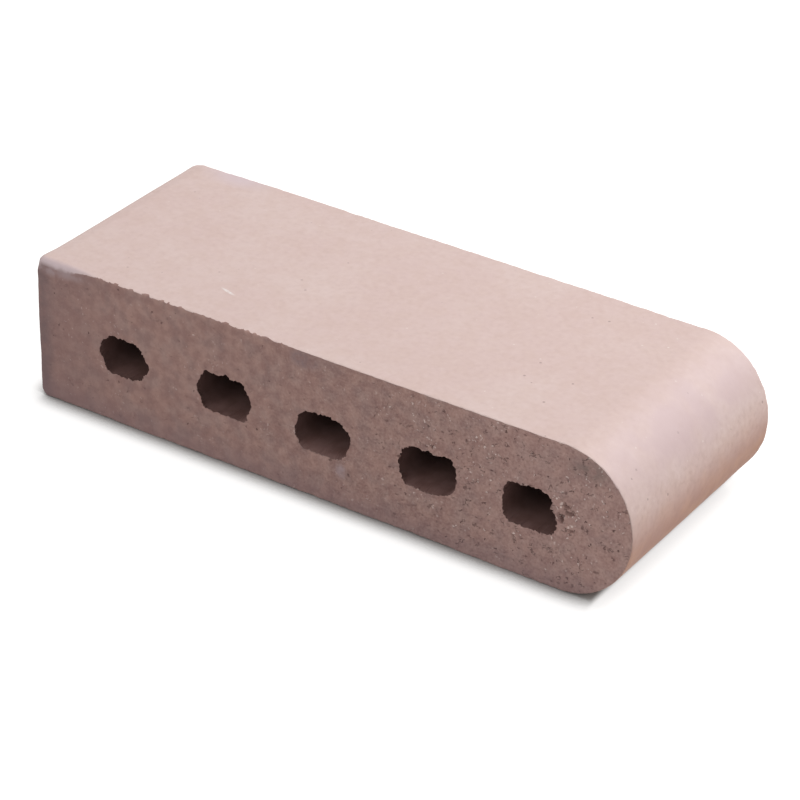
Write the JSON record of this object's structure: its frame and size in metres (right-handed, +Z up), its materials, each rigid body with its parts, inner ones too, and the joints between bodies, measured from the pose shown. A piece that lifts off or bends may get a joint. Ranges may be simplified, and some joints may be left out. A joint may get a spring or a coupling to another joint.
{
  "type": "bullnose coping brick",
  "caption": "Fired clay brick with a full-round end, wire-cut sides and a row of oblong cores running through from side to side.",
  "frame": {"origin": "centre of the box at the bed, the flat face that the brick lies on", "axes": "+X along the length towards the round nose, +Y through the cores from one cut face to the other, +Z up from the bed"},
  "size_m": [0.248, 0.095, 0.057],
  "materials": {
    "fired_clay": "matte"
  },
  "bodies": {
    "root": {"brick": "fired_clay"}
  },
  "joints": []
}
